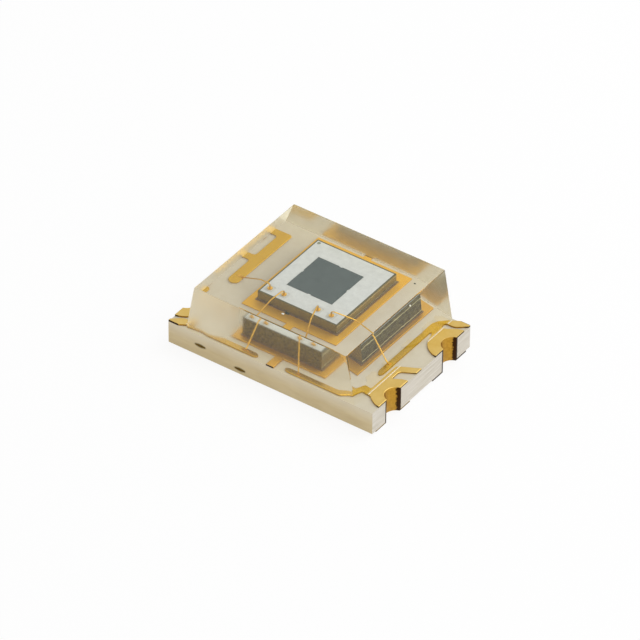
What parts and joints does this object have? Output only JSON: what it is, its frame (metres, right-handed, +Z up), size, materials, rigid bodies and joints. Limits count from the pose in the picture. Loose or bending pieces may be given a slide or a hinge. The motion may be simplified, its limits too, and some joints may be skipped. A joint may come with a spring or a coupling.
{
  "type": "ambient light sensor",
  "caption": "Surface-mount light sensor: a photodiode chip on a small printed board with plated half-hole terminals, wired in gold and sealed in a clear drafted block.",
  "frame": {"origin": "centre of the outline, at the level of the solder lands' undersides", "axes": "+X along the board towards terminals 3 and 4, +Y across it away from the side that the front bond fingers run along, +Z up through the clear block"},
  "size_m": [0.0038, 0.0026, 0.0013],
  "materials": {
    "laminate": "sawn glass-epoxy laminate, cream and slightly translucent",
    "bare_copper": "sawn and darkened copper",
    "gold_plating": "satin gold plating over copper",
    "die_attach": "cured adhesive film",
    "silicon": "sawn silicon, mottled olive brown",
    "photodiode": "dark slate field with an anti-reflection coat",
    "light_shield": "pale metal film under clear passivation",
    "pad_aluminium": "bare aluminium",
    "gold_wire": "drawn gold",
    "clear_mould": "clear cast epoxy, polished top and sawn sides"
  },
  "bodies": {
    "root": {"substrate": "laminate", "inner_copper_stub_1": "bare_copper", "inner_copper_stub_2": "bare_copper", "terminal_1": "gold_plating", "terminal_2": "gold_plating", "terminal_3": "gold_plating", "terminal_4": "gold_plating", "die_pad": "gold_plating", "die_attach": "die_attach", "silicon_die": "silicon", "photodiode": "photodiode", "light_shield": "light_shield", "bond_pad_1": "pad_aluminium", "bond_pad_2": "pad_aluminium", "bond_pad_3": "pad_aluminium", "bond_pad_4": "pad_aluminium", "bond_wire_1": "gold_wire", "bond_wire_2": "gold_wire", "bond_wire_3": "gold_wire", "bond_wire_4": "gold_wire", "clear_mould": "clear_mould"}
  },
  "joints": []
}
